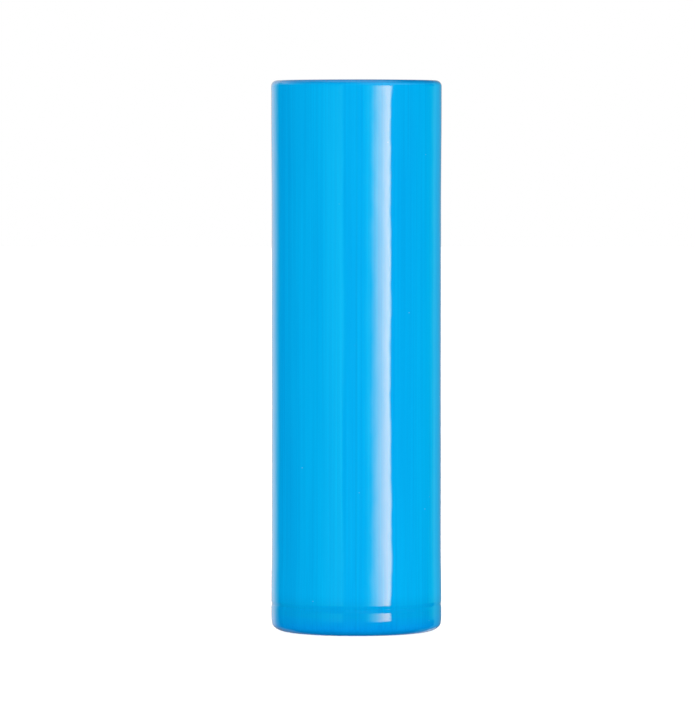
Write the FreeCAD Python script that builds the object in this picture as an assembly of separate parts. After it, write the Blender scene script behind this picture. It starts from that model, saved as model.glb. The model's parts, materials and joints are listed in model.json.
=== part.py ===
import FreeCAD, Part
from FreeCAD import Vector
import math
import os

# Cylindrical lithium-ion cell of the 21700 size, in millimetres, +Z up.
#
# The cell stands on its positive terminal.  The origin is the centre of that terminal's
# face, and the closed, negative end of the can is at the top.  From the outside in: a
# heat-shrink sleeve, a steel can with a rolled bead and a crimped mouth, the header that
# the crimp clamps (terminal cap, heat-sensitive ring, vent disc, pressure switch), two
# insulating discs, and a roll of electrodes and separators wound about a slit steel pin.

# ---------------------------------------------------------------- driving dimensions
overall_height = 70.02          # terminal face to the sleeve's top lip
can_diameter = 21.20
can_wall = 0.25
can_floor = 0.35                # the closed end is thicker than the drawn wall
sleeve_wall = 0.15              # along the body
sleeve_end_wall = 0.22          # the film is thicker where it shrinks on to the ends
terminal_stand = 0.12           # the terminal face stands this far out of the sleeve's lip
bead_height = 3.46              # middle of the rolled bead above the terminal face
fit_gap = 0.01                  # between pieces that lie against a round wall

# ---------------------------------------------------------------- sleeve
sleeve_mouth_radius = 7.90      # hole in the lip at the positive end
sleeve_top_hole_radius = 8.60   # hole in the lip at the negative end
sleeve_mouth_bends = [(1.70, 45), (0.85, 36), (6.00, 9)]    # from the lip up: radius, turn
sleeve_top_round = 0.75         # outside radius of the film over the closed end
sleeve_dip_depth = 0.05         # the film bridges the bead with a shallow dip
sleeve_dip_width = 0.90
sleeve_taper_low = (5.0, 11.0)  # heights between which the thick end thins to the body
sleeve_taper_high = (57.0, 67.0)

# ---------------------------------------------------------------- can
can_radius = can_diameter / 2
can_inside = can_radius - can_wall
can_top = overall_height - sleeve_end_wall - fit_gap
can_corner = 0.60
can_mouth_radius = 7.60         # edge of the crimped lip
crimp_round = 1.25
bead_turn = 80.0                # how far the wall turns in to the bead, in degrees
bead_edge_round = 0.40
bead_flank = 0.30
bead_root_round = 0.45
burst_ring_radius = 6.80        # coined ring in the closed end, where it opens under fire
burst_ring_width = 0.36
burst_ring_depth = 0.12

# ---------------------------------------------------------------- header
washer_thick = 0.17
washer_radii = (6.40, 8.90)
stack_radius = 9.75             # cap, heat-sensitive ring and vent disc share this rim
gasket_arm = 0.50
gasket_lip_radius = 7.30
gasket_upstand = 0.17
gasket_back_radius = 8.75
gasket_gap = 0.02
cap_thick = 0.45
cap_face_radius = 4.60
cap_turn = 70.0
cap_outer_bend = 0.70
cap_inner_bend = 0.30
cap_windows = 4
cap_window_width = 2.60
ptc_thick = 0.36
ptc_hole_radius = 6.20
vent_thick = 0.30
vent_dish = 0.60                # the disc is pressed this far into the cell
vent_boss = 0.36                # and its middle a little further, to the switch plate
switch_thick = 0.50
switch_radius = 8.00
switch_hole_radius = 0.80
switch_hole_circle = 4.90
switch_holes = 6
spot_radius = 1.20              # the welded spot that tears out of the switch plate
spot_thick = 0.25
spot_gap = 0.05
switch_recess_radius = 2.20
holder_hole_radius = 6.50       # plastic ring that carries the switch plate
holder_radius = 8.60
holder_lip = 0.25
holder_lip_radius = 7.50

# ---------------------------------------------------------------- wound roll
pin_radius = 1.50
pin_wall = 0.20
pin_slit = 0.40
roll_core_radius = 1.75
roll_outer_radius = 10.20
sheet_gap = 0.003
separator_thick = 0.020
anode_foil_thick = 0.015
anode_coat_thick = 0.070
cathode_foil_thick = 0.020
cathode_coat_thick = 0.065
separator_span = (5.35, 68.70)  # heights of the sheets' two edges
anode_span = (6.00, 68.05)
cathode_span = (6.60, 67.45)
tape_thick = 0.05
tape_height = 12.0
tape_inset = 4.0                # from the separators' edge to the tape

# ---------------------------------------------------------------- tabs and discs
insulator_thick = 0.30
insulator_radius = 10.20
front_insulator_height = 4.75
back_insulator_height = 68.80
insulator_hole_radius = 1.60
insulator_vents = 6
insulator_vent_radius = 1.10
insulator_vent_circle = 4.20
tab_thick = 0.12
positive_tab_width = 4.0
negative_tab_width = 5.0
positive_tab_reach = 3.2        # past the axis, before the strip folds back
negative_tab_reach = 3.0
tab_bend = 0.30                 # outside radius of a folded tab
tab_root_clear = 0.05           # a tab is flat this far from the separators' edge
tab_slot_room = 0.70
tab_tape_thick = 0.06
tab_tape_over = 0.5             # the tape is this much wider than the tab, each side

# ---------------------------------------------------------------- heights, from the terminal up
washer_height = terminal_stand + sleeve_end_wall + fit_gap
crimp_height = washer_height + washer_thick + fit_gap
gasket_height = crimp_height + can_wall + gasket_gap
flange_height = gasket_height + gasket_arm + gasket_gap
ptc_height = flange_height + cap_thick
vent_height = ptc_height + ptc_thick
stack_top = vent_height + vent_thick
switch_height = stack_top + vent_dish + vent_boss
switch_top = switch_height + switch_thick
can_floor_height = can_top - can_floor

AXIS_POINT = Vector(0, 0, 0)
UP = Vector(0, 0, 1)
TAB_AZIMUTH = 90.0              # tabs leave the roll on the +Y side, in the middle of a half turn


# ================================================================ drawing helpers
def at(x, z):
    """A point of a section, in the XZ plane."""
    return Vector(x, 0, z)


def straight(a, b):
    return Part.LineSegment(a, b).toShape()


def walk(start, heading, steps, shift=0.0):
    """Edges of a smooth path in the XZ plane, moved sideways to its left by shift.

    Each step is a straight length, or (radius, turn) with the turn in degrees, positive to
    the left.  Returns the edges and both end points.
    """
    angle = math.radians(heading)
    here = at(start[0] - shift * math.sin(angle), start[1] + shift * math.cos(angle))
    first, edges = here, []
    for step in steps:
        if not isinstance(step, tuple):
            there = here + at(math.cos(angle), math.sin(angle)) * step
            edges.append(straight(here, there))
            here = there
            continue
        radius, turn = step[0], math.radians(step[1])
        side = 1 if turn > 0 else -1
        radius -= side * shift
        centre = here + at(-math.sin(angle), math.cos(angle)) * side * radius
        middle, there = (
            centre + at(math.sin(a), -math.cos(a)) * side * radius
            for a in (angle + turn / 2, angle + turn)
        )
        edges.append(Part.Arc(here, middle, there).toShape())
        here, angle = there, angle + turn
    return edges, first, here


def sheet_section(start, heading, steps, thickness):
    """Section of formed sheet: a path and its copy, thickness to the left (right if negative)."""
    near, near_start, near_end = walk(start, heading, steps)
    far, far_start, far_end = walk(start, heading, steps, thickness)
    edges = near + [straight(near_end, far_end)] + far + [straight(far_start, near_start)]
    return Part.Face(Part.Wire(Part.__sortEdges__(edges)))


def polygon(points):
    corners = [at(*p) for p in points]
    return Part.Face(Part.makePolygon(corners + corners[:1]))


def turned(section):
    """The solid of a section turned about the cell's axis."""
    return section.revolve(AXIS_POINT, UP, 360)


def ring(inner, outer, low, high):
    return turned(polygon([(inner, low), (outer, low), (outer, high), (inner, high)]))


def disc(radius, low, high):
    return Part.makeCylinder(radius, high - low, at(0, low))


def around(shape, count, start=0.0):
    """Copies of a shape, evenly spaced about the axis."""
    copies = []
    for i in range(count):
        copy = shape.copy()
        copy.rotate(AXIS_POINT, UP, start + 360.0 * i / count)
        copies.append(copy)
    return copies


def rise(height, first_bend, second_bend, turn):
    """The straight length between two opposite bends that together rise by height."""
    angle = math.radians(turn)
    return (height - (first_bend + second_bend) * (1 - math.cos(angle))) / math.sin(angle)


# ================================================================ outside
def sleeve_face(shift):
    """Edges of one face of the film, from the mouth's hole to the top's, and both end points.

    The outer face has no shift; the inner one lies the end wall's thickness further in.
    """
    end = can_radius + fit_gap + sleeve_end_wall
    low, top = terminal_stand, overall_height
    bends = walk((0, 0), 0, sleeve_mouth_bends)[2]
    lip = end - bends.x - sleeve_mouth_radius
    steps = [lip] + sleeve_mouth_bends
    mouth, first, foot = walk((sleeve_mouth_radius, low), 0, steps, shift)
    steps = [(sleeve_top_round, 90), end - sleeve_top_round - sleeve_top_hole_radius]
    closed, head, last = walk((end, top - sleeve_top_round), 90, steps, shift)
    side = end - shift
    half = sleeve_dip_width / 2
    dip = [
        at(side, bead_height - half),
        at(side - sleeve_dip_depth, bead_height),
        at(side, bead_height + half),
    ]
    flank = [dip[2], head]
    if shift == 0:
        body = can_radius + fit_gap + sleeve_wall
        flank = [
            dip[2],
            at(end, sleeve_taper_low[0]),
            at(body, sleeve_taper_low[1]),
            at(body, sleeve_taper_high[0]),
            at(end, sleeve_taper_high[1]),
            head,
        ]
    edges = mouth + [straight(foot, dip[0]), Part.Arc(*dip).toShape()]
    edges += [straight(a, b) for a, b in zip(flank, flank[1:])] + closed
    return edges, first, last


def sleeve():
    """Heat-shrink film: thin along the body, thicker and rounded over both ends."""
    outer, outer_first, outer_last = sleeve_face(0)
    inner, inner_first, inner_last = sleeve_face(sleeve_end_wall)
    lips = [straight(outer_first, inner_first), straight(outer_last, inner_last)]
    return turned(Part.Face(Part.Wire(Part.__sortEdges__(outer + lips + inner))))


def can():
    """Drawn steel can: closed end up, rolled bead, mouth crimped over the gasket."""
    bead_in = bead_edge_round + bead_root_round
    flank_drop = bead_flank * math.cos(math.radians(bead_turn))
    bead_half = bead_in * math.sin(math.radians(bead_turn)) + flank_drop
    steps = [
        can_radius - can_corner,
        (can_corner, -90),
        can_top - can_corner - bead_height - bead_half,
        (bead_edge_round, -bead_turn),
        bead_flank,
        (bead_root_round, 2 * bead_turn),
        bead_flank,
        (bead_edge_round, -bead_turn),
        bead_height - bead_half - crimp_height - crimp_round,
        (crimp_round, -90),
        can_radius - crimp_round - can_mouth_radius,
    ]
    shell = turned(sheet_section((0, can_top), 0, steps, -can_wall))
    floor = disc(can_inside - can_corner, can_floor_height, can_top - can_wall / 2)
    groove = ring(
        burst_ring_radius - burst_ring_width / 2,
        burst_ring_radius + burst_ring_width / 2,
        can_top - burst_ring_depth,
        can_top + 1,
    )
    return shell.fuse(floor).cut(groove).removeSplitter()


# ================================================================ header
def washer():
    """Flat insulating ring between the sleeve's lip and the crimp."""
    return ring(*washer_radii, washer_height, washer_height + washer_thick)


def gasket():
    """Crimp seal: wraps the rim of the clamped stack and insulates it from the can."""
    wall = can_inside - gasket_gap
    corner = crimp_round - can_wall - gasket_gap
    centre = at(can_radius - crimp_round, crimp_height + crimp_round)
    diagonal = at(math.sqrt(0.5), -math.sqrt(0.5))
    shoulder = Part.Arc(
        centre + at(0, -corner), centre + diagonal * corner, centre + at(corner, 0)
    ).toShape()
    back = bead_height - bead_root_round - can_wall - gasket_gap
    lip_edge = can_mouth_radius - 2 * gasket_gap
    inside = stack_radius + gasket_gap
    points = [
        centre + at(corner, 0),
        at(wall, back - can_wall),
        at(wall - can_wall, back),
        at(gasket_back_radius, back),
        at(gasket_back_radius, stack_top + gasket_gap),
        at(inside, stack_top + gasket_gap),
        at(inside, flange_height - gasket_gap),
        at(gasket_lip_radius, flange_height - gasket_gap),
        at(gasket_lip_radius, gasket_height - gasket_upstand),
        at(lip_edge, gasket_height - gasket_upstand),
        at(lip_edge, gasket_height),
        centre + at(0, -corner),
    ]
    edges = [straight(a, b) for a, b in zip(points, points[1:])]
    return turned(Part.Face(Part.Wire(Part.__sortEdges__(edges + [shoulder]))))


def terminal_cap():
    """Pressed steel cap with gas windows in its sloping wall."""
    wall = rise(flange_height, cap_outer_bend, cap_inner_bend, cap_turn)
    angle = math.radians(cap_turn)
    reach = (cap_outer_bend + cap_inner_bend) * math.sin(angle) + wall * math.cos(angle)
    flange_start = cap_face_radius + reach
    steps = [
        cap_face_radius,
        (cap_outer_bend, cap_turn),
        wall,
        (cap_inner_bend, -cap_turn),
        stack_radius - flange_start,
    ]
    cap = turned(sheet_section((0, 0), 0, steps, cap_thick))
    window_low, window_high = cap_thick + 0.05, flange_height - cap_inner_bend
    window = Part.makeBox(
        2 * reach,
        cap_window_width,
        window_high - window_low,
        Vector(cap_face_radius, -cap_window_width / 2, window_low),
    )
    for cutter in around(window, cap_windows, 45.0):
        cap = cap.cut(cutter)
    return cap


def ptc_ring():
    """Ring whose resistance jumps when it gets hot."""
    return ring(ptc_hole_radius, stack_radius, ptc_height, vent_height)


def vent_disc():
    """Scored aluminium disc, dished into the cell; its boss is welded to the switch plate."""
    boss_turn, dish_turn = 60.0, 30.0
    boss_bends, dish_bends = (0.20, 0.40), (0.50, 0.80)
    boss_face, flat_radius = 0.60, 4.00
    boss_wall = rise(vent_boss, *boss_bends, boss_turn)
    dish_wall = rise(vent_dish, *dish_bends, dish_turn)

    def reach(bends, wall, turn):
        angle = math.radians(turn)
        return sum(bends) * math.sin(angle) + wall * math.cos(angle)

    boss_end = boss_face + reach(boss_bends, boss_wall, boss_turn)
    rim_start = flat_radius + reach(dish_bends, dish_wall, dish_turn)
    steps = [
        boss_face,
        (boss_bends[0], -boss_turn),
        boss_wall,
        (boss_bends[1], boss_turn),
        flat_radius - boss_end,
        (dish_bends[0], -dish_turn),
        dish_wall,
        (dish_bends[1], dish_turn),
        stack_radius - rim_start,
    ]
    start = (0, vent_height + vent_dish + vent_boss)
    score_radius, score_depth = 3.10, 0.16
    flat = vent_height + vent_dish
    score = turned(
        polygon(
            [
                (score_radius - score_depth, flat),
                (score_radius, flat + score_depth),
                (score_radius + score_depth, flat),
                (score_radius, flat - score_depth),
            ]
        )
    )
    return turned(sheet_section(start, 0, steps, vent_thick)).cut(score)


def switch_holder():
    """Plastic ring that keeps the switch plate off the vent disc's rim."""
    points = [
        (holder_hole_radius, stack_top),
        (holder_radius, stack_top),
        (holder_radius, switch_top + holder_lip),
        (holder_lip_radius, switch_top + holder_lip),
        (holder_lip_radius, switch_top),
        (switch_radius + fit_gap, switch_top),
        (switch_radius + fit_gap, switch_height),
        (holder_hole_radius, switch_height),
    ]
    return turned(polygon(points))


def switch_plate():
    """Perforated aluminium plate, thinned in the middle around the welded spot."""
    plate = disc(switch_radius, switch_height, switch_top)
    plate = plate.cut(disc(spot_radius + spot_gap, switch_height - 1, switch_top + 1))
    plate = plate.cut(disc(switch_recess_radius, switch_height + spot_thick, switch_top + 1))
    hole = Part.makeCylinder(
        switch_hole_radius, switch_thick + 2, at(switch_hole_circle, switch_height - 1)
    )
    for cutter in around(hole, switch_holes):
        plate = plate.cut(cutter)
    return plate


def weld_spot():
    """Middle of the switch plate, which leaves with the vent disc when the switch opens."""
    return disc(spot_radius, switch_height, switch_height + spot_thick)


# ================================================================ wound roll
LAYERS = [
    ("separator_inner", separator_thick),
    ("anode_coating_inner", anode_coat_thick),
    ("anode_foil", anode_foil_thick),
    ("anode_coating_outer", anode_coat_thick),
    ("separator_outer", separator_thick),
    ("cathode_coating_inner", cathode_coat_thick),
    ("cathode_foil", cathode_foil_thick),
    ("cathode_coating_outer", cathode_coat_thick),
]
roll_pitch = sum(thick + sheet_gap for _, thick in LAYERS)
roll_half_turns = int((roll_outer_radius - roll_core_radius) / (roll_pitch / 2))
# First and last half turn of each sheet: separators start first, and the anode covers the cathode.
TURNS = {
    "separator": (0, roll_half_turns),
    "anode": (2, roll_half_turns - 1),
    "cathode": (4, roll_half_turns - 3),
}
SPANS = {"separator": separator_span, "anode": anode_span, "cathode": cathode_span}


def layer_offset(name):
    """How far a layer's inner face lies outside the innermost one's, in the same half turn."""
    offset = 0.0
    for layer, thick in LAYERS:
        if layer == name:
            return offset
        offset += thick + sheet_gap
    raise ValueError(name)


def half_turn_centre(half_turn):
    """Half circles about two centres in turn make a smooth spiral."""
    return -roll_pitch / 4 if half_turn % 2 == 0 else roll_pitch / 4


def half_turn_radius(name, half_turn):
    return roll_core_radius + layer_offset(name) + half_turn * roll_pitch / 2


def wound_sheet(name, thick):
    """One sheet of the roll, as a spiral strip."""
    kind = name.split("_")[0]
    first, last = TURNS[kind]
    low, high = SPANS[kind]
    edges, tips = [], []
    for grow in (0.0, thick):
        ends = []
        for half_turn in range(first, last):
            radius = half_turn_radius(name, half_turn) + grow
            centre = Vector(half_turn_centre(half_turn), 0, low)
            begin = math.pi * (half_turn % 2)
            points = [
                centre + Vector(math.cos(a), math.sin(a), 0) * radius
                for a in (begin, begin + math.pi / 2, begin + math.pi)
            ]
            edges.append(Part.Arc(*points).toShape())
            ends += [points[0], points[2]]
        tips.append((ends[0], ends[-1]))
    (inner_first, inner_last), (outer_first, outer_last) = tips
    edges += [straight(inner_first, outer_first), straight(inner_last, outer_last)]
    face = Part.Face(Part.Wire(Part.__sortEdges__(edges)))
    return face.extrude(Vector(0, 0, high - low))


def winding_tape(low):
    """Band of tape that holds the roll's outer end down."""
    inner = roll_outer_radius + fit_gap
    return ring(inner, inner + tape_thick, low, low + tape_height)


def winding_tape_front():
    return winding_tape(separator_span[0] + tape_inset)


def winding_tape_back():
    return winding_tape(separator_span[1] - tape_inset - tape_height)


def centre_pin():
    """Rolled steel tube with a slit, which keeps the roll's middle open for gas."""
    low, high = anode_span
    edge = pin_wall / 2
    inner = pin_radius - pin_wall
    points = [
        (inner, low),
        (inner + edge, low),
        (pin_radius, low + 3 * edge),
        (pin_radius, high - 3 * edge),
        (inner + edge, high),
        (inner, high),
    ]
    slit = Part.makeBox(
        2 * pin_radius, pin_slit, high - low + 2, Vector(0, -pin_slit / 2, low - 1)
    )
    return turned(polygon(points)).cut(slit)


# ================================================================ discs and tabs
def layer_span(kind):
    """Thickness of a whole electrode, both coatings and the foil."""
    return sum(thick for name, thick in LAYERS if name.startswith(kind)) + 2 * sheet_gap


def root_half_turn(kind):
    """The half turn a tab is welded to: in mid roll for the cathode, the last for the anode."""
    first, last = TURNS[kind]
    chosen = (first + last) // 2 if kind == "cathode" else last - 1
    return chosen - chosen % 2


def root_radius(kind):
    """Inside radius of a tab's root, which lies in the middle of its electrode's thickness."""
    inner = half_turn_radius(kind + "_coating_inner", root_half_turn(kind))
    return inner + (layer_span(kind) - tab_thick) / 2


def tab_root(kind, width, low, high):
    """The tab's curved end, in the room that its electrode's edge leaves in the roll."""
    radius = root_radius(kind)
    half = math.degrees(width / 2 / radius)
    section = polygon(
        [(radius, low), (radius + tab_thick, low), (radius + tab_thick, high), (radius, high)]
    )
    section.rotate(AXIS_POINT, UP, TAB_AZIMUTH - half)
    root = section.revolve(AXIS_POINT, UP, 2 * half)
    root.translate(Vector(half_turn_centre(root_half_turn(kind)), 0, 0))
    return root


def folded_strip(start, heading, steps, width):
    """A folded strip: its path runs in the plane x = 0, on the +Y side."""
    section = sheet_section(start, heading, steps, tab_thick)
    strip = section.extrude(Vector(0, width, 0))
    strip.translate(Vector(0, -width / 2, 0))
    strip.rotate(AXIS_POINT, UP, TAB_AZIMUTH)
    return strip


run_height = switch_top + 2 * tab_bend - tab_thick      # lower face of the tab's long run


def positive_tab():
    """Aluminium strip from the cathode, folded twice, to the switch plate."""
    radius = root_radius("cathode")
    leave = separator_span[0] - tab_root_clear
    fold = 2 * tab_bend
    steps = [
        leave - (run_height + tab_thick + fold),
        (fold, -90),
        radius - fold + positive_tab_reach,
        (tab_bend, 180),
        2 * positive_tab_reach,
    ]
    strip = folded_strip((radius, leave), -90, steps, positive_tab_width)
    root = tab_root("cathode", positive_tab_width, leave, cathode_span[0])
    return root.fuse(strip).removeSplitter()


def negative_tab():
    """Nickel strip from the anode's outer end, across the closed end of the can."""
    outside = root_radius("anode") + tab_thick
    leave = separator_span[1] + tab_root_clear
    fold = 2 * tab_bend
    steps = [
        can_floor_height - fold - leave,
        (fold, 90),
        outside - fold + negative_tab_reach,
    ]
    strip = folded_strip((outside, leave), 90, steps, negative_tab_width)
    root = tab_root("anode", negative_tab_width, anode_span[1], leave)
    return root.fuse(strip).removeSplitter()


def tab_tape():
    """Insulating tape on the positive tab's long run, on the side that faces the roll."""
    low = run_height + tab_thick
    width = positive_tab_width + 2 * tab_tape_over
    length = positive_tab_reach + root_radius("cathode") - 2 * tab_bend
    return Part.makeBox(
        width, length, tab_tape_thick, Vector(-width / 2, -positive_tab_reach, low)
    )


def tab_slot(width, inner, outer, height):
    """Cutter for a tab's way through a disc, between two distances from the axis."""
    wide = width + 2 * tab_tape_over
    tall = 3 * insulator_thick
    low = height - insulator_thick
    return Part.makeBox(wide, outer - inner, tall, Vector(-wide / 2, inner, low))


def insulator(height):
    """Plastic disc with a hole at the middle, under or over the roll."""
    return ring(insulator_hole_radius, insulator_radius, height, height + insulator_thick)


def front_insulator():
    """Disc between the header and the roll, with gas holes and a slot for the tab."""
    low = front_insulator_height
    hole = Part.makeCylinder(
        insulator_vent_radius, insulator_thick + 2, at(insulator_vent_circle, low - 1)
    )
    radius = root_radius("cathode")
    plate = insulator(low).cut(
        tab_slot(positive_tab_width, radius - tab_slot_room, radius + tab_slot_room, low)
    )
    for cutter in around(hole, insulator_vents):
        plate = plate.cut(cutter)
    return plate


def back_insulator():
    """Disc between the roll and the can's closed end, notched for the tab."""
    low = back_insulator_height
    inner = root_radius("anode") - tab_slot_room
    return insulator(low).cut(
        tab_slot(negative_tab_width, inner, insulator_radius + 1, low)
    )


PIECES = {
    "sleeve": sleeve,
    "insulating_washer": washer,
    "can": can,
    "gasket": gasket,
    "terminal_cap": terminal_cap,
    "ptc_ring": ptc_ring,
    "vent_disc": vent_disc,
    "switch_holder": switch_holder,
    "switch_plate": switch_plate,
    "weld_spot": weld_spot,
    "positive_tab": positive_tab,
    "tab_tape": tab_tape,
    "front_insulator": front_insulator,
    "winding_tape_front": winding_tape_front,
    "winding_tape_back": winding_tape_back,
    "centre_pin": centre_pin,
    "back_insulator": back_insulator,
    "negative_tab": negative_tab,
}


def export(name, shape):
    shape.exportStep(os.path.join("parts", name + ".step"))
    print(f"{name:24s} {shape.Volume:9.3f} mm3  valid {shape.isValid()}")


def main():
    os.makedirs("parts", exist_ok=True)
    for name, make in PIECES.items():
        export(name, make())
    for name, thick in LAYERS:
        export(name, wound_sheet(name, thick))


main()
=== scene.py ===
import json
import math

import bpy
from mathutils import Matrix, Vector, noise


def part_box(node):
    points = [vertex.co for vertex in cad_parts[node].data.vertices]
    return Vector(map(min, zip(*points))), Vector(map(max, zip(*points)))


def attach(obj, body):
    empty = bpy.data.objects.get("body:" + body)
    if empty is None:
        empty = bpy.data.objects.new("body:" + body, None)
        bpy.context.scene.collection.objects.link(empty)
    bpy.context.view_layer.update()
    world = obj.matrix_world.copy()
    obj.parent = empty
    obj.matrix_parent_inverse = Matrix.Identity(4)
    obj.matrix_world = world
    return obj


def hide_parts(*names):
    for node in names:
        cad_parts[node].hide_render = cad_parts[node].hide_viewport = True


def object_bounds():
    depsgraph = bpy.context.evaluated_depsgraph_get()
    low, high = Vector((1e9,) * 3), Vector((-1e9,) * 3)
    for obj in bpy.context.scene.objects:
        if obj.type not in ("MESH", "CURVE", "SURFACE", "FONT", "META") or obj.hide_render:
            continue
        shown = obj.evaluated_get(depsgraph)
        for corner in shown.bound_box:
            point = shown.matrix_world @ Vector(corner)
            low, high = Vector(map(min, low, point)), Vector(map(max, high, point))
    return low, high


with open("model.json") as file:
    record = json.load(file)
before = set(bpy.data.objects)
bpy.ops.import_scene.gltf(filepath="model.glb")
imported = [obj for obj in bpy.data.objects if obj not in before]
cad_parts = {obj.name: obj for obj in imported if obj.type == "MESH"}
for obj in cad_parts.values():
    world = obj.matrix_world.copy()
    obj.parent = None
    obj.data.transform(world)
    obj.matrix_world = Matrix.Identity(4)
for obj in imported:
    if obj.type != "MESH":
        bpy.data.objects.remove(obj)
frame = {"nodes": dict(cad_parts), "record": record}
cad_low, cad_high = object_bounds()
MM = 0.001
LEVEL = (1.0, 1.0, 0.0)          # times a vector, this drops its height


# ---------------------------------------------------------------- helpers
def grey(*levels):
    """Neutral stops for a ramp or a card, from pairs of place and level."""
    return [(place, (level,) * 3) for place, level in levels]


def spread(count, low, high):
    """Evenly spaced values from low to high, with count steps between them."""
    return [low + (high - low) * i / count for i in range(count + 1)]


def new_object(name, points, faces):
    """A mesh object in the scene."""
    mesh = bpy.data.meshes.new(name)
    mesh.from_pydata(points, [], faces)
    made = bpy.data.objects.new(name, mesh)
    bpy.context.scene.collection.objects.link(made)
    return made


class Nodes:
    """Short calls for building a shader's node tree."""

    def __init__(self, tree):
        self.tree = tree
        tree.nodes.clear()

    def add(self, kind, values=(), **settings):
        """A node with settings, and values or links for its inputs by name or number."""
        made = self.tree.nodes.new(kind)
        for name, value in settings.items():
            setattr(made, name, value)
        for name, value in dict(values).items():
            if isinstance(value, bpy.types.NodeSocket):
                self.tree.links.new(value, made.inputs[name])
            else:
                made.inputs[name].default_value = value
        return made

    def place(self):
        """The point's place in the object's own metres."""
        return self.add("ShaderNodeTexCoord").outputs["Object"]

    def split(self, vector):
        """A vector's X, Y and Z."""
        return self.add("ShaderNodeSeparateXYZ", {0: vector}).outputs

    def math(self, operation, a, b=0.0):
        return self.add("ShaderNodeMath", {0: a, 1: b}, operation=operation).outputs[0]

    def vector(self, operation, a, b=(0.0, 0.0, 0.0)):
        """A vector, or a number where the operation gives one."""
        made = self.add("ShaderNodeVectorMath", {0: a, 1: b}, operation=operation)
        return made.outputs["Value" if operation in ("LENGTH", "DOT_PRODUCT") else "Vector"]

    def scaled(self, vector, factor):
        return self.add(
            "ShaderNodeVectorMath", {0: vector, "Scale": factor}, operation="SCALE"
        ).outputs[0]

    def mixed(self, factor, first, second):
        """The first colour, giving way to the second as the factor grows from 0 to 1."""
        return self.add(
            "ShaderNodeMixRGB", {"Fac": factor, "Color1": first, "Color2": second}
        ).outputs[0]

    def ramp(self, factor, stops, interpolation="LINEAR"):
        """A colour ramp; stops are (position, colour)."""
        made = self.add("ShaderNodeValToRGB", {"Fac": factor})
        band = made.color_ramp
        band.interpolation = interpolation
        while len(band.elements) < len(stops):
            band.elements.new(0.5)
        for element, (position, colour) in zip(band.elements, stops):
            element.position = position
            element.color = (*colour, 1.0)
        return made.outputs["Color"]

    def remap(self, value, low, high, to_low, to_high):
        return self.add(
            "ShaderNodeMapRange",
            {"Value": value, "From Min": low, "From Max": high, "To Min": to_low, "To Max": to_high},
        ).outputs["Result"]

    def grain(self, scale, detail=4.0, distortion=0.0, rough=0.55):
        """Noise in the object's own metres; scale is in cycles per metre along x, y and z."""
        stretched = self.add("ShaderNodeMapping", {"Vector": self.place(), "Scale": scale})
        return self.add(
            "ShaderNodeTexNoise",
            {
                "Vector": stretched.outputs["Vector"],
                "Scale": 1.0,
                "Detail": detail,
                "Distortion": distortion,
                "Roughness": rough,
            },
        ).outputs["Fac"]

    def bump(self, height, distance):
        return self.add("ShaderNodeBump", {"Height": height, "Distance": distance}).outputs["Normal"]

    def surface(self, values):
        shader = self.add("ShaderNodeBsdfPrincipled", values)
        self.add("ShaderNodeOutputMaterial", {"Surface": shader.outputs[0]})


def new_material(name):
    made = bpy.data.materials.new(name)
    made.use_nodes = True
    return made, Nodes(made.node_tree)


# ---------------------------------------------------------------- materials
STEEL_RELIEF = 0.0003 * MM
FILM_RELIEF = 0.0007 * MM
MOUTH_PAINTED_SHADE = 6.0 * MM           # how far up from the mouth the film's colour carries painted shade, for the contact shade near the floor
CROWN_PAINTED_SHADE = 1.0 * MM           # and how far down from the top it carries painted shade, for the dimmer top corner
FOLD_WIDTH = 0.16 * MM           # from the middle of a fold line to its edge
FOLD_SHADE = 0.96
DUST_CELLS = 330.0               # per metre, with at most one speck in each
DUST_SPECK = (0.030, 0.022)      # a speck's edge and its full middle, in cells
DUST_COVER = 0.35
DUST_COLOUR = (0.45, 0.75, 0.95, 1.0)


def grained(name, dark, light, roughness, scale, metallic=0.0, depth=0.002 * MM):
    """A surface with a grain: its colour, roughness and relief all follow one noise."""
    made, n = new_material(name)
    grain = n.grain(scale, 5.0)
    n.surface(
        {
            "Base Color": n.ramp(grain, [(0.3, dark), (0.7, light)]),
            "Metallic": metallic,
            "Roughness": n.remap(grain, 0.3, 0.7, *roughness),
            "Normal": n.bump(grain, depth),
        }
    )
    return made


def drawn_steel(name, dark, light, roughness, ring_pitch):
    """Nickel-plated steel with the faint rings and rubs of drawing and handling."""
    made, n = new_material(name)
    radius = n.vector("LENGTH", n.vector("MULTIPLY", n.place(), LEVEL))
    rings = n.add(
        "ShaderNodeTexNoise",
        {"W": n.math("MULTIPLY", radius, 1.0 / ring_pitch), "Scale": 1.0, "Detail": 6.0},
        noise_dimensions="1D",
    ).outputs["Fac"]
    rubs = n.grain((260.0, 1900.0, 500.0), 6.0, 0.4)
    clouds = n.grain((160.0, 160.0, 160.0), 3.0)
    worn = n.math("ADD", n.math("MULTIPLY", rings, 0.45), n.math("MULTIPLY", rubs, 0.35))
    worn = n.math("ADD", worn, n.math("MULTIPLY", clouds, 0.20))
    n.surface(
        {
            "Base Color": n.ramp(worn, [(0.35, dark), (0.62, light)]),
            "Metallic": 1.0,
            "Roughness": n.remap(worn, 0.35, 0.65, *roughness),
            "Normal": n.bump(worn, STEEL_RELIEF),
        }
    )
    return made


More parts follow.
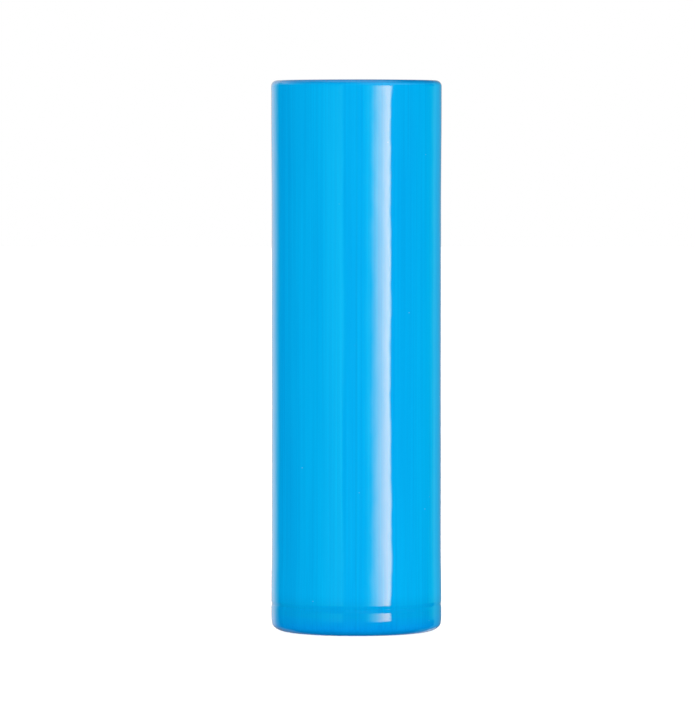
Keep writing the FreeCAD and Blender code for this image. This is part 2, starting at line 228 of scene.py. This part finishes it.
def shrink_film(name):
    """Glossy blue film: fine lengthways streaks, a slight orange peel, fold lines and dust.

    Its colour deepens over the two ends, where the film is thickest; the deepening is painted shade,
    for the contact shade at the mouth and the dimmer light on the top's corner.
    """
    made, n = new_material(name)
    low, high = (corner[2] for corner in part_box("sleeve"))
    place = n.place()
    split = n.split(place)
    # Painted shade: the colour is deepened towards the mouth for the contact shade near the floor,
    # and towards the top for the dimmer light on the top's corner.
    mouth = n.ramp(
        n.remap(split["Z"], low, low + MOUTH_PAINTED_SHADE, 0.0, 1.0),
        [
            (0.03, (1.0, 0.76, 0.98)),
            (0.15, (1.0, 0.74, 0.93)),
            (0.27, (1.0, 0.80, 0.91)),
            (0.43, (1.0, 0.84, 0.88)),
            (0.90, (1.0, 1.00, 1.00)),
        ],
        "EASE",
    )
    crown = n.ramp(
        n.remap(split["Z"], high, high - CROWN_PAINTED_SHADE, 0.0, 1.0),
        [(0.18, (1.0, 0.70, 0.80)), (0.66, (1.0, 1.0, 1.0))],
        "EASE",
    )
    streaks = n.grain((3600.0, 3600.0, 16.0), 3.0, rough=0.65)
    bands = n.grain((420.0, 420.0, 30.0), 2.0)
    peel = n.grain((900.0, 900.0, 700.0), 2.0)
    tone = n.math("ADD", n.math("MULTIPLY", streaks, 0.7), n.math("MULTIPLY", bands, 0.3))
    tint = n.ramp(tone, [(0.34, (0.0, 0.405, 0.87)), (0.66, (0.0, 0.500, 0.955))])
    # The film was delivered as a flat tube, and keeps a faint line along both folds.
    fold = n.remap(n.math("ABSOLUTE", split["X"]), 0.0, FOLD_WIDTH, FOLD_SHADE, 1.0)
    # The streaky tint, darkened by the painted shade at both ends.
    tint_and_painted_shade = n.vector("MULTIPLY", n.vector("MULTIPLY", tint, mouth), crown)
    cells = n.add("ShaderNodeTexVoronoi", {"Vector": place, "Scale": DUST_CELLS})
    dust = n.remap(cells.outputs["Distance"], *DUST_SPECK, 0.0, DUST_COVER)
    relief = n.math("ADD", n.math("MULTIPLY", streaks, 0.3), peel)
    n.surface(
        {
            "Base Color": n.mixed(dust, n.scaled(tint_and_painted_shade, fold), DUST_COLOUR),
            "Roughness": n.remap(streaks, 0.3, 0.7, 0.04, 0.075),
            "IOR": 1.5,
            "Normal": n.bump(relief, FILM_RELIEF),
        }
    )
    return made


def make_materials():
    """The finish of each material slot in the record, by the slot's name."""
    return {
        "sleeve_film": shrink_film("sleeve_film"),
        "washer_fibre": grained(
            "washer_fibre", (0.78, 0.77, 0.72), (0.90, 0.89, 0.85), (0.75, 0.9),
            (2500.0, 900.0, 2500.0), depth=0.01 * MM,
        ),
        "nickel_plated_steel": drawn_steel(
            "nickel_plated_steel", (0.60, 0.585, 0.56), (0.72, 0.705, 0.675), (0.26, 0.36),
            0.35 * MM,
        ),
        "gasket_plastic": grained(
            "gasket_plastic", (0.012, 0.012, 0.014), (0.022, 0.022, 0.025), (0.35, 0.5),
            (900.0, 900.0, 900.0),
        ),
        "cap_steel": drawn_steel(
            "cap_steel", (0.64, 0.63, 0.60), (0.76, 0.75, 0.72), (0.16, 0.28), 0.25 * MM,
        ),
        "ptc_composite": grained(
            "ptc_composite", (0.015, 0.015, 0.016), (0.05, 0.05, 0.05), (0.55, 0.8),
            (5000.0, 5000.0, 5000.0), depth=0.004 * MM,
        ),
        "aluminium_sheet": grained(
            "aluminium_sheet", (0.70, 0.71, 0.73), (0.86, 0.87, 0.88), (0.22, 0.4),
            (300.0, 6000.0, 300.0), metallic=1.0,
        ),
        "holder_plastic": grained(
            "holder_plastic", (0.66, 0.66, 0.63), (0.74, 0.74, 0.71), (0.4, 0.55),
            (700.0, 700.0, 700.0),
        ),
        "polyimide_tape": grained(
            "polyimide_tape", (0.50, 0.17, 0.01), (0.62, 0.24, 0.02), (0.12, 0.22),
            (1200.0, 250.0, 1200.0),
        ),
        "insulator_plastic": grained(
            "insulator_plastic", (0.72, 0.72, 0.70), (0.86, 0.86, 0.84), (0.5, 0.7),
            (1500.0, 1500.0, 1500.0),
        ),
        "winding_tape": grained(
            "winding_tape", (0.07, 0.30, 0.10), (0.10, 0.38, 0.14), (0.15, 0.3),
            (400.0, 400.0, 1600.0),
        ),
        "pin_steel": grained(
            "pin_steel", (0.45, 0.45, 0.45), (0.62, 0.62, 0.61), (0.25, 0.45),
            (4000.0, 4000.0, 150.0), metallic=1.0,
        ),
        "nickel_strip": grained(
            "nickel_strip", (0.55, 0.53, 0.48), (0.70, 0.68, 0.62), (0.2, 0.35),
            (5000.0, 200.0, 5000.0), metallic=1.0,
        ),
        "separator_film": grained(
            "separator_film", (0.82, 0.82, 0.83), (0.93, 0.93, 0.94), (0.35, 0.5),
            (2500.0, 2500.0, 120.0), depth=0.001 * MM,
        ),
        "graphite": grained(
            "graphite", (0.008, 0.008, 0.009), (0.028, 0.028, 0.03), (0.6, 0.85),
            (9000.0, 9000.0, 9000.0), depth=0.003 * MM,
        ),
        "copper_foil": grained(
            "copper_foil", (0.62, 0.27, 0.14), (0.80, 0.42, 0.26), (0.2, 0.35),
            (3000.0, 3000.0, 90.0), metallic=1.0,
        ),
        "cathode_oxide": grained(
            "cathode_oxide", (0.004, 0.004, 0.005), (0.014, 0.014, 0.015), (0.5, 0.7),
            (7000.0, 7000.0, 7000.0), depth=0.002 * MM,
        ),
        "aluminium_foil": grained(
            "aluminium_foil", (0.74, 0.75, 0.77), (0.88, 0.89, 0.90), (0.18, 0.3),
            (3000.0, 3000.0, 90.0), metallic=1.0,
        ),
    }


def finish_cad_nodes(materials):
    """Every node of the frame gets the finish of its slot in the record."""
    for part in frame["record"]["subparts"]:
        for slot in frame["nodes"][part["node"]].material_slots:
            slot.material = materials[part["material_slot"]]


# ---------------------------------------------------------------- sleeve
SEGMENTS = 320                   # points round the cell
BODY_WALL = 0.15 * MM
END_WALL = 0.22 * MM
THINS_OUT = (4.8 * MM, 11.0 * MM)          # heights from the end wall to the body wall
THICKENS = (54.0 * MM, 67.5 * MM)          # and from the body wall back to the end wall
MOUTH_BENDS = [(1.70 * MM, 45.0), (0.85 * MM, 36.0), (6.00 * MM, 9.0)]   # from the lip up
TOP_ROUND = 0.75 * MM
MOUTH_HOLE = 7.90 * MM
TOP_HOLE = 8.60 * MM
DIP_HEIGHT = 3.50 * MM           # the film bridges the can's bead with a creased dip
DIP_WIDTH = 0.90 * MM
DIP_DEPTH = 0.07 * MM
CREASE = 0.03 * MM               # how sharp the dip's edges and the top's shoulder are
DIP_CREASE = CREASE / 8          # and how sharp the dip's bottom is
LIP_ROWS = 10
MOUTH_ROWS = 14                  # in each bend
NECK_ROWS = 8                    # between the mouth and the dip
DIP_ROWS = 15                    # in each half
BODY_ROWS = 150
TOP_ROWS = 16
INSIDE_STEP = 3                  # the inside has one row for this many outside
WAVES = [                        # how the film strays: depth, waves, a wave's height, shift
    (0.012 * MM, 4.0, 14.0 * MM, (0.0, 0.0)),
    (0.008 * MM, 7.0, 5.0 * MM, (5.0, 0.0)),
    (0.006 * MM, 9.0, 1.6 * MM, (0.0, 8.0)),
]
CREASES = [                      # faint rings on the film's left: height, how far they rise
    (4.90 * MM, -0.0040 * MM),
    (4.35 * MM, -0.0050 * MM),
    (2.10 * MM, 0.0060 * MM),
    (68.30 * MM, -0.0040 * MM),
]
CREASE_WIDTH = 0.10 * MM
CREASE_WAVES = 1.5
CREASE_UNEVEN = 0.5              # how much a ring's ends stray round the cell
LIP_UNEVEN = 0.16 * MM           # how far the lips' free edges stray
LIP_WAVES = 2.1
LIP_SHIFT = (0.0, 3.0)
LIP_PLEAT = 0.035 * MM
PLEAT_WAVES = 16.0
PLEAT_SHARE = 0.35               # of the pleats in the free edges' straying


def smooth(value, low, high):
    t = min(max((value - low) / (high - low), 0.0), 1.0)
    return t * t * (3.0 - 2.0 * t)


def bent(r, z, heading, bends, count):
    """Points along tangent arcs that turn left, after the start."""
    angle, line = math.radians(heading), []
    for radius, turn in bends:
        centre_r, centre_z = r - radius * math.sin(angle), z + radius * math.cos(angle)
        for a in spread(count, angle, angle + math.radians(turn))[1:]:
            line.append((centre_r + radius * math.sin(a), centre_z - radius * math.cos(a)))
        r, z = line[-1]
        angle += math.radians(turn)
    return line


def film_heights(mouth_end, top_start):
    """Heights of the rows on the film's side, with close pairs beside each crease."""
    dip_low, dip_high = DIP_HEIGHT - DIP_WIDTH / 2, DIP_HEIGHT + DIP_WIDTH / 2
    heights = spread(NECK_ROWS, mouth_end, dip_low - CREASE)[1:]
    heights += spread(DIP_ROWS, dip_low, DIP_HEIGHT - DIP_CREASE)
    heights.append(DIP_HEIGHT)
    heights += spread(DIP_ROWS, DIP_HEIGHT + DIP_CREASE, dip_high)
    heights += spread(BODY_ROWS, dip_high + CREASE, top_start - CREASE)
    heights.append(top_start)
    return heights


def film_line(low, high, end):
    """The film's outside line, from the mouth's hole to the top's; end is the radius there.

    Each point is (r, z, wall, free), where free grows from 0 to 1 at the lips' free edges.
    """
    reach_r, reach_z = bent(0.0, 0.0, 0.0, MOUTH_BENDS, 1)[-1]
    mouth_flat, top_flat = end - reach_r, end - TOP_ROUND
    line = [
        (r, low, END_WALL, (mouth_flat - r) / (mouth_flat - MOUTH_HOLE))
        for r in spread(LIP_ROWS, MOUTH_HOLE, mouth_flat)
    ]
    mouth = bent(mouth_flat, low, 0.0, MOUTH_BENDS, MOUTH_ROWS)
    line += [(r, z, END_WALL, 0.0) for r, z in mouth]
    for z in film_heights(low + reach_z, high - TOP_ROUND):
        thin = smooth(z, *THINS_OUT) * (1.0 - smooth(z, *THICKENS))
        wall = END_WALL + (BODY_WALL - END_WALL) * thin
        dip = max(0.0, 1.0 - 2.0 * abs(z - DIP_HEIGHT) / DIP_WIDTH)
        line.append((end - END_WALL + wall - DIP_DEPTH * dip, z, wall, 0.0))
    crown = bent(end, high - TOP_ROUND, 90.0, [(TOP_ROUND, 90.0)], TOP_ROWS)
    line += [(r, z, END_WALL, 0.0) for r, z in crown]
    line += [
        (r, high, END_WALL, (top_flat - r) / (top_flat - TOP_HOLE))
        for r in spread(LIP_ROWS, top_flat, TOP_HOLE)[1:]
    ]
    return line


def ripple(angle, z, waves, tall, shift=(0.0, 0.0)):
    """Smooth noise, from -1 to 1, that joins up round the cell.

    It is finer round the cell with more waves, and up the cell where a wave is less tall.
    """
    x, y = math.cos(angle) * waves, math.sin(angle) * waves
    return noise.noise(Vector((x + shift[0], y + shift[1], z / tall)))


def stray(angle, z, free):
    """How far the shrunk film lies off its true line: outwards, and up or down into the cell."""
    out = sum(
        depth * ripple(angle, z, waves, tall, shift) for depth, waves, tall, shift in WAVES
    )
    for height, rise in CREASES:
        uneven = CREASE_UNEVEN * ripple(angle, height, CREASE_WAVES, MM)
        run = max(0.0, uneven - math.cos(angle))
        out += rise * run * math.exp(-(((z - height) / CREASE_WIDTH) ** 2))
    edge = ripple(angle, z, LIP_WAVES, MM, LIP_SHIFT)
    pleats = ripple(angle, z, PLEAT_WAVES, MM)
    out += LIP_UNEVEN * free ** 2 * (edge + PLEAT_SHARE * pleats)
    return out, LIP_PLEAT * free * (0.5 + pleats)


def film_loop(r, z, free, inward):
    """A loop of the film; inward is +1 where pleats rise into the cell, and -1 at its top."""
    loop = []
    for k in range(SEGMENTS):
        angle = 2 * math.pi * k / SEGMENTS
        out, sink = stray(angle, z, free)
        loop.append(((r + out) * math.cos(angle), (r + out) * math.sin(angle), z + inward * sink))
    return loop


def closed_turn(name, loops):
    """A closed mesh from a ring of loops: loops[row][column] are points, both ways round."""
    rows, columns = len(loops), len(loops[0])
    faces = []
    for i in range(rows):
        j = (i + 1) % rows
        for k in range(columns):
            m = (k + 1) % columns
            faces.append(
                (i * columns + k, i * columns + m, j * columns + m, j * columns + k)
            )
    made = new_object(name, [point for loop in loops for point in loop], faces)
    made.data.polygons.foreach_set("use_smooth", [True] * len(faces))
    return made


def make_sleeve(film):
    low_corner, high_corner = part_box("sleeve")
    low, high, end = low_corner[2], high_corner[2], high_corner[0]
    middle = (low + high) / 2
    line = film_line(low, high, end)
    loops = [film_loop(r, z, free, 1 if z < middle else -1) for r, z, _, free in line]
    for i in range(len(line) - 1, -1, -INSIDE_STEP):
        r, z, wall, free = line[i]
        before, after = line[max(i - 1, 0)], line[min(i + 1, len(line) - 1)]
        along = Vector((after[0] - before[0], after[1] - before[1])).normalized()
        inside = film_loop(
            r - along.y * wall, z + along.x * wall, free, 1 if z < middle else -1
        )
        loops.append(inside)
    made = closed_turn("shrink_sleeve", loops)
    made.data.materials.append(film)
    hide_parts("sleeve")
    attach(made, "root")


# ---------------------------------------------------------------- stage, lights, camera
FLOOR_HALF = 3.0
FLOOR_SUN = 2.9
FRONT_LEAN = (0.11, -0.40, 0.0)            # matt light is stronger from this side
FRONT_RIGHT = (0.707, -0.707, 0.0)
CARD_AWAY = 0.9                  # from the cell's axis to a light card
CARD_SPANS = 24                  # flat stretches in a card's curve
CARD_DIMS = (-0.30, -0.08)       # heights between which a card's lower part dims
CAMERA_AWAY = 0.720
CAMERA_HEIGHT = 0.06053
LOOKS_DOWN = 2.034               # degrees
LOOKS_LEFT = 0.0892              # degrees
SENSOR = 36.0                    # mm across
LENS = 286.1                     # mm


def make_floor():
    """A plain floor that only the camera sees, with a sun that lights nothing else."""
    corners = [(-1, -1), (1, -1), (1, 1), (-1, 1)]
    points = [(x * FLOOR_HALF, y * FLOOR_HALF, cad_low.z) for x, y in corners]
    floor = new_object("floor", points, [(0, 1, 2, 3)])
    made, n = new_material("floor")
    n.surface(
        {
            "Base Color": n.ramp(n.grain((40.0, 40.0, 40.0)), grey((0.0, 0.90), (1.0, 0.92))),
            "Roughness": 0.9,
            "Specular IOR Level": 0.0,
        }
    )
    floor.data.materials.append(made)
    floor.visible_diffuse = False
    floor.visible_glossy = False
    only_floor = bpy.data.collections.new("floor_light")
    only_floor.objects.link(floor)
    sun = bpy.data.lights.new("floor_sun", "SUN")
    sun.energy = FLOOR_SUN
    lamp = bpy.data.objects.new("floor_sun", sun)
    lamp.light_linking.receiver_collection = only_floor
    lamp.light_linking.blocker_collection = only_floor
    bpy.context.scene.collection.objects.link(lamp)


def make_world():
    """White to the eye, a soft ring of light to matt surfaces, and a dim room to gloss.

    Gloss sees nothing at eye level, and soft light high up at the front right, at the back
    left and overhead.
    """
    world = bpy.data.worlds.new("studio")
    world.use_nodes = True
    bpy.context.scene.world = world
    n = Nodes(world.node_tree)
    path = n.add("ShaderNodeLightPath").outputs
    direction = n.add("ShaderNodeTexCoord").outputs["Generated"]
    height = n.split(direction)["Z"]
    ring = n.ramp(
        n.remap(height, -1.0, 1.0, 0.0, 1.0),
        [
            (0.08, (0.15, 0.15, 0.15)),
            (0.30, (0.95, 0.95, 0.98)),
            (0.50, (1.05, 1.04, 1.08)),
            (0.75, (0.98, 0.98, 1.01)),
            (0.92, (0.25, 0.25, 0.25)),
        ],
        "EASE",
    )
    matt = n.scaled(ring, n.math("ADD", n.vector("DOT_PRODUCT", direction, FRONT_LEAN), 1.0))
    level = n.vector("NORMALIZE", n.vector("MULTIPLY", direction, LEVEL))
    diagonal = n.math("ABSOLUTE", n.vector("DOT_PRODUCT", level, FRONT_RIGHT))
    patch = n.remap(n.math("POWER", diagonal, 6.0), 0.0, 1.0, 0.06, 1.0)
    patch = n.math("MAXIMUM", patch, n.remap(height, 0.80, 0.94, 0.0, 1.0))
    high_up = n.ramp(
        height, grey((0.21, 0.0), (0.32, 1.1), (0.42, 1.2), (0.70, 0.6), (0.93, 1.2))
    )
    unseen = n.mixed(path["Is Glossy Ray"], matt, n.scaled(high_up, patch))
    seen = n.mixed(path["Is Camera Ray"], unseen, (1.0, 1.0, 1.0, 1.0))
    shader = n.add("ShaderNodeBackground", {"Color": seen})
    n.add("ShaderNodeOutputWorld", {"Surface": shader.outputs[0]})


def make_card(name, low, high, levels, fade=1.0, distance=CARD_AWAY):
    """An upright curved light card, from height low to high, that only gloss sees.

    Levels are (azimuth, brightness), the azimuth in degrees from the front to the right,
    and fade is the share of that brightness left well below the floor.
    """
    start, stop = levels[0][0], levels[-1][0]
    points, faces = [], []
    for i, azimuth in enumerate(spread(CARD_SPANS, start, stop)):
        a = math.radians(azimuth)
        x, y = distance * math.sin(a), -distance * math.cos(a)
        points += [(x, y, low), (x, y, high)]
        if i:
            faces.append((2 * i - 2, 2 * i, 2 * i + 1, 2 * i - 1))
    card = new_object(name, points, faces)
    made, n = new_material(name)
    place = n.place()
    middle = math.radians((start + stop) / 2)
    ahead = n.vector("DOT_PRODUCT", place, (math.sin(middle), -math.cos(middle), 0.0))
    aside = n.vector("DOT_PRODUCT", place, (math.cos(middle), math.sin(middle), 0.0))
    half = math.radians(stop - start) / 2
    share = n.remap(n.math("ARCTAN2", aside, ahead), -half, half, 0.0, 1.0)
    top = max(max(colour) for _, colour in levels)
    stops = [
        ((azimuth - start) / (stop - start), tuple(c / top for c in colour))
        for azimuth, colour in levels
    ]
    strength = n.remap(n.split(place)["Z"], *CARD_DIMS, fade * top, top)
    shader = n.add("ShaderNodeEmission", {"Color": n.ramp(share, stops), "Strength": strength})
    n.add("ShaderNodeOutputMaterial", {"Surface": shader.outputs[0]})
    card.data.materials.append(made)
    card.visible_camera = False
    card.visible_diffuse = False
    card.visible_shadow = False
    card.visible_transmission = False


def make_lights():
    make_card(
        "strip_right_front", -0.084, 0.107,
        [
            (8.0, (0.0, 0.0, 0.0)),
            (12.0, (0.03, 0.7, 0.3)),
            (18.8, (0.22, 1.6, 0.5)),
            (24.3, (2.3, 2.75, 0.6)),
            (29.8, (5.2, 4.3, 1.2)),
            (35.5, (7.9, 5.6, 1.4)),
            (41.2, (12.2, 7.2, 2.0)),
            (45.0, (12.8, 8.2, 2.7)),
            (48.4, (0.0, 1.0, 0.5)),
        ],
    )
    make_card(
        "panel_left_front", -0.105, 0.105,
        [
            (-130.0, (0.0, 0.15, 0.40)),
            (-118.0, (0.0, 0.10, 0.50)),
            (-100.0, (0.0, 0.0, 0.15)),
            (-80.0, (0.0, 0.0, 0.05)),
            (-65.0, (0.0, 0.35, 0.20)),
            (-50.0, (0.0, 0.50, 0.20)),
            (-17.9, (0.08, 1.3, 0.4)),
        ],
    )
    make_card(
        "panel_right", -0.105, 0.105,
        [
            (60.0, (0.0, 0.0, 0.0)),
            (90.0, (0.0, 0.15, 0.10)),
            (115.0, (0.0, 0.35, 0.25)),
            (121.0, (0.02, 0.70, 0.35)),
            (127.0, (0.08, 0.90, 0.45)),
            (132.0, (0.17, 1.00, 0.80)),
        ],
    )
    make_card(
        "card_left_back", -0.80, 0.45,
        [
            (-180.0, (0.70, 0.70, 0.70)),
            (-167.6, (0.80, 0.80, 0.80)),
            (-152.0, (1.08, 1.08, 1.08)),
            (-142.4, (0.75, 0.95, 0.90)),
            (-134.8, (0.23, 0.55, 0.45)),
            (-128.0, (0.0, 0.15, 0.10)),
        ],
        fade=0.3,
    )
    make_card(
        "card_right_back", -0.80, 0.45,
        [
            (132.0, (0.17, 1.00, 0.80)),
            (140.0, (0.10, 0.55, 0.65)),
            (150.0, (0.11, 0.42, 0.50)),
            (156.0, (0.12, 0.32, 0.38)),
            (163.0, (0.22, 0.35, 0.38)),
            (180.0, (0.40, 0.40, 0.40)),
        ],
        fade=0.8,
    )
    make_card(
        "strip_behind_low", -0.46, -0.26,
        grey((153.0, 0.0), (160.0, 1.0), (170.0, 1.0), (176.0, 0.0)),
        distance=0.85,
    )


def make_camera():
    """A long lens a little below the cell's top, looking slightly down."""
    lens = bpy.data.cameras.new("camera")
    lens.sensor_width = SENSOR
    lens.lens = LENS
    camera = bpy.data.objects.new("camera", lens)
    camera.location = (0.0, -CAMERA_AWAY, CAMERA_HEIGHT)
    camera.rotation_euler = (math.radians(90.0 - LOOKS_DOWN), 0.0, math.radians(LOOKS_LEFT))
    bpy.context.scene.collection.objects.link(camera)
    bpy.context.scene.camera = camera


bpy.context.scene.view_settings.view_transform = "Standard"
materials = make_materials()
finish_cad_nodes(materials)
make_sleeve(materials["sleeve_film"])
make_floor()
make_world()
make_lights()
make_camera()
